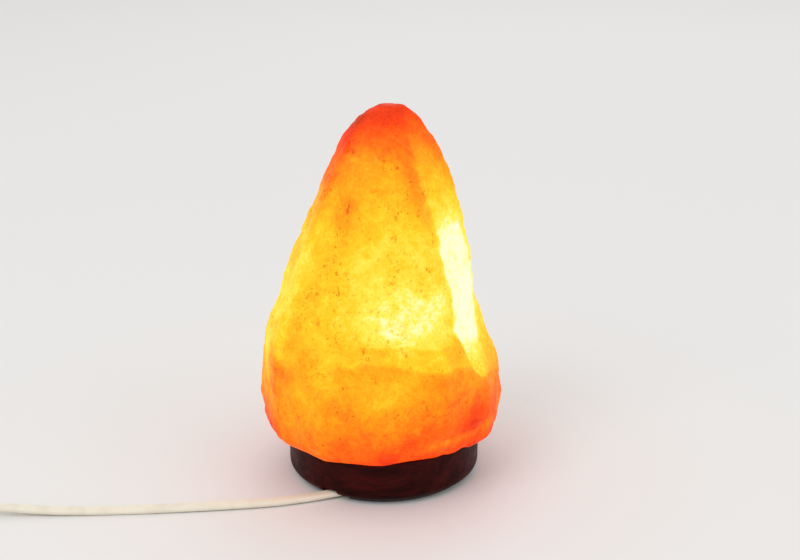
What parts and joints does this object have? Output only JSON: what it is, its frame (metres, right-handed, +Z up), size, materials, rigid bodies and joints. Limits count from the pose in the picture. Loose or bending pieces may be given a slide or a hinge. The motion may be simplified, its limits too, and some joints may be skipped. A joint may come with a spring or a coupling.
{
  "type": "salt crystal lamp",
  "caption": "Natural salt crystal lamp on a round wooden base, lit by a small screw-cap bulb inside, with a flat cord, in-line rocker switch and flat two-pin plug.",
  "frame": {"origin": "centre of the wooden base, on the plane that its felt ring stands on", "axes": "+Z up through the crystal, -Y towards the front that the picture shows, -X the side where the cord leads away"},
  "size_m": [0.4481, 0.1293, 0.196],
  "materials": {
    "salt": "rough-hewn, translucent",
    "stained_wood": "dark stain, satin",
    "felt": "felt",
    "screw_steel": "zinc plated",
    "anchor_plastic": "moulded",
    "holder_plastic": "moulded",
    "spring_steel": "spring temper",
    "steatite": "fired",
    "contact_brass": "bright",
    "shell_nickel": "rolled thread",
    "core_sleeves": "insulation",
    "bulb_glass": "clear",
    "stem_glass": "clear",
    "cap_glass": "black glass",
    "solder": "solder",
    "lead_wire": "drawn",
    "tungsten": "glowing",
    "cord_pvc": "ivory vinyl",
    "tie_strip": "paper-covered wire",
    "sleeve_pvc": "soft vinyl",
    "switch_plastic": "fine spark texture",
    "rocker_plastic": "polished",
    "plug_pvc": "moulded vinyl",
    "pin_nickel": "nickel plated",
    "pin_sleeves": "nylon"
  },
  "bodies": {
    "holder": {"centre_contact": "contact_brass", "clamp_posts": "holder_plastic", "coil_tie": "tie_strip", "contact_carrier": "steatite", "contact_saddle": "contact_brass", "cord_clamp": "holder_plastic", "cord_coil": "cord_pvc", "cord_lamp_side": "cord_pvc", "cord_plug_side": "cord_pvc", "holder_cap": "holder_plastic", "holder_cores": "core_sleeves", "holder_shell": "holder_plastic", "plug_body": "plug_pvc", "plug_pin_sleeves": "pin_sleeves", "plug_pins": "pin_nickel", "plug_sleeve": "sleeve_pvc", "rocker_pin": "screw_steel", "screw_shell": "shell_nickel", "spring_wings": "spring_steel", "switch_case_bottom": "switch_plastic", "switch_case_screws": "screw_steel", "switch_case_top": "switch_plastic", "switch_cord_ends": "cord_pvc", "switch_neutral_link": "contact_brass", "switch_sleeve_lamp_side": "sleeve_pvc", "switch_sleeve_plug_side": "sleeve_pvc", "switch_terminal_screws": "screw_steel", "switch_terminals": "contact_brass", "terminal_blocks": "contact_brass", "terminal_screws": "screw_steel", "wing_rivets": "screw_steel"},
    "lamp_body": {"felt_foot": "felt", "wooden_base": "stained_wood", "base_screws": "screw_steel", "screw_anchors": "anchor_plastic", "salt_crystal": "salt"},
    "bulb_slider": {"bulb_tip_contact": "solder", "bulb_insulator": "cap_glass"},
    "bulb": {"bulb_glass": "bulb_glass", "bulb_screw_cap": "shell_nickel", "bulb_stem": "stem_glass", "bulb_leads": "lead_wire", "bulb_filament": "tungsten"},
    "rocker": {"switch_rocker": "rocker_plastic", "rocker_plunger": "switch_plastic", "plunger_spring": "screw_steel"},
    "seesaw": {"contact_seesaw": "contact_brass"}
  },
  "joints": [
    {"name": "lamp_lift", "type": "slide", "parent": "holder", "child": "lamp_body", "axis": [0, 0, 1], "range_m": [0, 0.125]},
    {"name": "bulb_rise", "type": "slide", "parent": "holder", "child": "bulb_slider", "axis": [0, 0, 1], "range_m": [0, 0.0086]},
    {"name": "bulb_unscrew", "type": "hinge", "parent": "bulb_slider", "child": "bulb", "pos_m": [0, 0, 0.04], "axis": [0, 0, 1], "range_deg": [0, 1080]},
    {"name": "rocker_tilt", "type": "hinge", "parent": "holder", "child": "rocker", "pos_m": [-0.262, -0.0586, 0.015], "axis": [0, 1, 0], "range_deg": [-22, 0]},
    {"name": "seesaw_tilt", "type": "hinge", "parent": "holder", "child": "seesaw", "pos_m": [-0.262, -0.0586, 0.00605], "axis": [0, 1, 0], "range_deg": [0, 11]}
  ],
  "couplings": [
    {"joint": "bulb_rise", "follows": "bulb_unscrew", "m_per_rad": 0.00044913},
    {"joint": "seesaw_tilt", "follows": "rocker_tilt", "ratio": -0.5}
  ]
}
